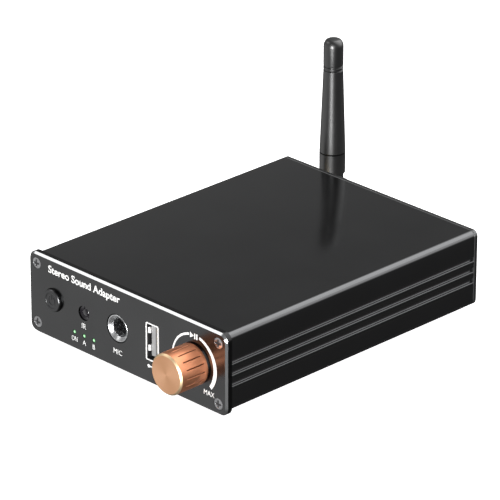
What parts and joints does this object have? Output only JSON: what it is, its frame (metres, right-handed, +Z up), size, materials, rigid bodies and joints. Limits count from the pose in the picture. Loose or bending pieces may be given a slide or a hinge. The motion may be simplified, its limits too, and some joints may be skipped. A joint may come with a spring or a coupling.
{
  "type": "bluetooth audio receiver",
  "caption": "Flat desktop bluetooth audio receiver: black extruded case, front controls and sockets, copper volume knob and a folding antenna.",
  "frame": {"origin": "centre of the outline, on the plane the feet stand on", "axes": "+X to the right seen from the front, +Y from the front panel to the back, +Z up"},
  "size_m": [0.094, 0.152, 0.0709],
  "materials": {
    "anodised_case": "satin black anodised",
    "front_plate": "gloss black, bright diamond-cut edge",
    "back_plate": "satin black anodised",
    "black_screw": "black zinc",
    "foot_rubber": "matte",
    "circuit_board": "green solder mask",
    "module_board": "blue solder mask",
    "nickel_shell": "bright nickel",
    "chrome_bush": "polished chrome",
    "white_plastic": "smooth white",
    "gold_contact": "gold plated",
    "black_plastic": "moulded",
    "spring_steel": "bright",
    "ir_window": "dark epoxy",
    "led_body": "clear epoxy",
    "light_pipe": "clear acrylic, lit pale green",
    "phenolic": "pressed phenolic",
    "button_cap": "black anodised",
    "copper_knob": "copper anodised",
    "chip_epoxy": "moulded epoxy",
    "capacitor_can": "bright can with printed side",
    "ferrite": "pressed ferrite",
    "red_plastic": "smooth red",
    "brass_nut": "machined",
    "cable_jacket": "thin jacket",
    "antenna_plastic": "smooth black"
  },
  "bodies": {
    "case": {"case_extrusion": "anodised_case", "front_panel": "front_plate", "front_panel_screws": "black_screw", "back_panel": "back_plate", "back_panel_screws": "black_screw", "rubber_feet": "foot_rubber", "main_board": "circuit_board", "usb_shell": "nickel_shell", "usb_insulator": "white_plastic", "usb_contacts": "gold_contact", "mic_jack_bush": "chrome_bush", "mic_jack_body": "black_plastic", "mic_jack_contacts": "spring_steel", "ir_receiver": "ir_window", "indicator_leds": "led_body", "light_pipes": "light_pipe", "power_switch_housing": "black_plastic", "power_switch_base": "phenolic", "power_switch_spring": "spring_steel", "encoder_housing": "black_plastic", "encoder_cover": "phenolic", "encoder_bracket": "spring_steel", "encoder_pins": "spring_steel", "encoder_washer": "nickel_shell", "encoder_nut": "nickel_shell", "click_dome": "spring_steel", "radio_module": "module_board", "module_shield": "nickel_shell", "integrated_circuits": "chip_epoxy", "electrolytic_capacitors": "capacitor_can", "power_inductors": "ferrite", "crystal": "nickel_shell", "aux_jack_body": "black_plastic", "aux_jack_contacts": "gold_contact", "rca_housing": "black_plastic", "rca_barrels": "nickel_shell", "rca_insulator_left": "white_plastic", "rca_insulator_right": "red_plastic", "rca_contacts": "gold_contact", "dc_jack_body": "black_plastic", "dc_jack_pin": "nickel_shell", "antenna_connector": "gold_contact", "connector_insulator": "white_plastic", "connector_contact": "gold_contact", "connector_washer": "nickel_shell", "connector_nut": "brass_nut", "rf_pigtail": "cable_jacket", "antenna_coupling_nut": "brass_nut"},
    "power_button": {"power_button": "button_cap", "power_plunger": "white_plastic"},
    "encoder_rotor": {"encoder_rotor": "phenolic"},
    "volume_knob": {"volume_knob": "copper_knob", "knob_insert": "black_plastic", "encoder_shaft": "spring_steel"},
    "antenna_swivel": {"antenna_swivel": "antenna_plastic", "antenna_center_pin": "gold_contact", "antenna_hinge_pin": "spring_steel"},
    "antenna_mast": {"antenna_knuckle": "antenna_plastic", "antenna_element": "brass_nut", "antenna_sleeve": "antenna_plastic"}
  },
  "joints": [
    {"name": "power_press", "type": "slide", "parent": "case", "child": "power_button", "axis": [0, 1, 0], "range_m": [0, 0.0008], "stiffness_N_per_m": 2000, "springref_m": -0.0005, "deforming": ["power_switch_spring"]},
    {"name": "knob_turn", "type": "hinge", "parent": "case", "child": "encoder_rotor", "pos_m": [0.0322, -0.05775, 0.0157], "axis": [0, 1, 0], "continuous": true},
    {"name": "knob_push", "type": "slide", "parent": "encoder_rotor", "child": "volume_knob", "axis": [0, 1, 0], "range_m": [0, 0.0005], "stiffness_N_per_m": 6000, "springref_m": -0.0002, "deforming": ["click_dome"]},
    {"name": "antenna_turn", "type": "hinge", "parent": "case", "child": "antenna_swivel", "pos_m": [-0.0381, 0.06645, 0.0157], "axis": [0, 1, 0], "range_deg": [-100, 100]},
    {"name": "antenna_tilt", "type": "hinge", "parent": "antenna_swivel", "child": "antenna_mast", "pos_m": [-0.0381, 0.07145, 0.0157], "axis": [-1, 0, 0], "range_deg": [0, 90]}
  ]
}
